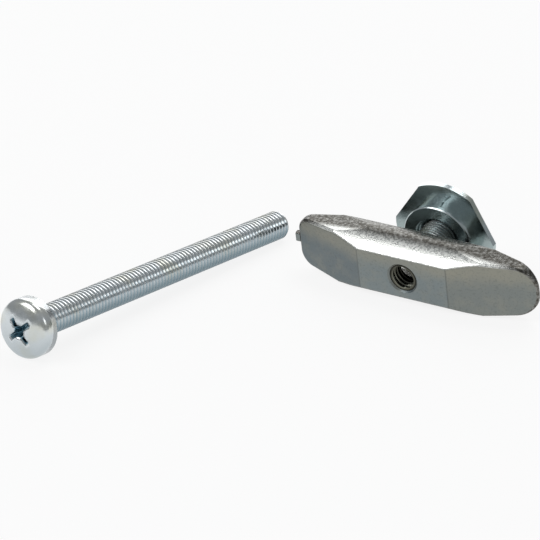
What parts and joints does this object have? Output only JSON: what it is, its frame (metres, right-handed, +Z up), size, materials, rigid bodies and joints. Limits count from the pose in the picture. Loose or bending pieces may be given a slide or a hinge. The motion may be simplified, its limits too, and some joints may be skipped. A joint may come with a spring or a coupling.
{
  "type": "drywall anchor",
  "caption": "Toggle anchor for hollow walls: folded bar with a tapped hole, threaded sleeve and flange nut, with its pan head machine screw lying beside it.",
  "frame": {"origin": "on the table the set lies on, under the middle of the whole set", "axes": "+X along the toggle bar, +Y the way the sleeve leads from the bar, seen from above, +Z up"},
  "size_m": [0.081, 0.0908, 0.021],
  "materials": {
    "bar_casting": "zinc plated casting, fine grain",
    "sleeve_plate": "bright blue zinc plate on steel",
    "nut_plate": "blue zinc plate on steel, smooth",
    "screw_plate": "bright blue zinc plate on steel"
  },
  "bodies": {
    "bar": {"toggle_bar": "bar_casting", "machine_screw": "screw_plate"},
    "sleeve": {"threaded_sleeve": "sleeve_plate"},
    "nut": {"flange_nut": "nut_plate"}
  },
  "joints": [
    {"name": "bar_swing", "type": "hinge", "parent": "bar", "child": "sleeve", "pos_m": [0.01269, 0.02798, 0.00743], "axis": [0, -0.2419, 0.9703], "range_deg": [-30, 30]},
    {"name": "nut_travel", "type": "slide", "parent": "sleeve", "child": "nut", "axis": [0, 0.9703, 0.2419], "range_m": [0, 0.0052]}
  ]
}
